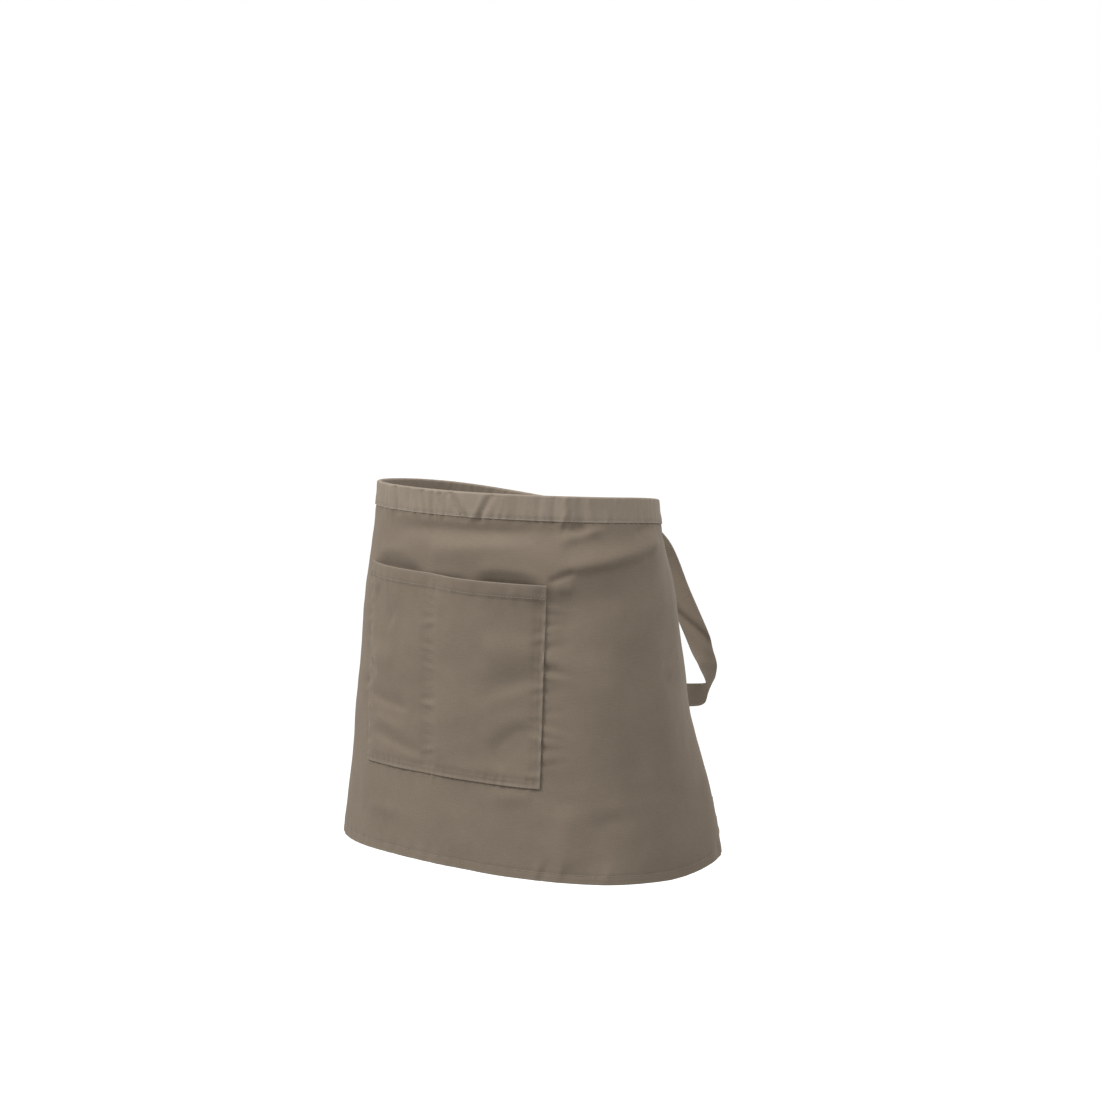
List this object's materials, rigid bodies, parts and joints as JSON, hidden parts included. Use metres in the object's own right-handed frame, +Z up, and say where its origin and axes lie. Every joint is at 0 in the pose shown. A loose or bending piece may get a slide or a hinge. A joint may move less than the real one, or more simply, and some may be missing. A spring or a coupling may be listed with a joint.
{
  "type": "waist apron",
  "caption": "Short waist apron of plain twill in its worn form, with a divided patch pocket, a folded waistband and ties in a bow at the back.",
  "frame": {"origin": "middle of the waist opening, at the mean height of the waistband's top edge", "axes": "+X the wearer's left, +Y the wearer's back, +Z up, so the front faces -Y"},
  "size_m": [0.426, 0.317, 0.374],
  "materials": {
    "twill": "matt polyester and cotton twill"
  },
  "bodies": {
    "root": {"skirt": "twill", "waistband": "twill", "pocket": "twill", "bow_knot": "twill", "tie_left": "twill", "bow_loop_left": "twill", "tie_end_left": "twill", "tie_right": "twill", "bow_loop_right": "twill", "tie_end_right": "twill"}
  },
  "joints": []
}
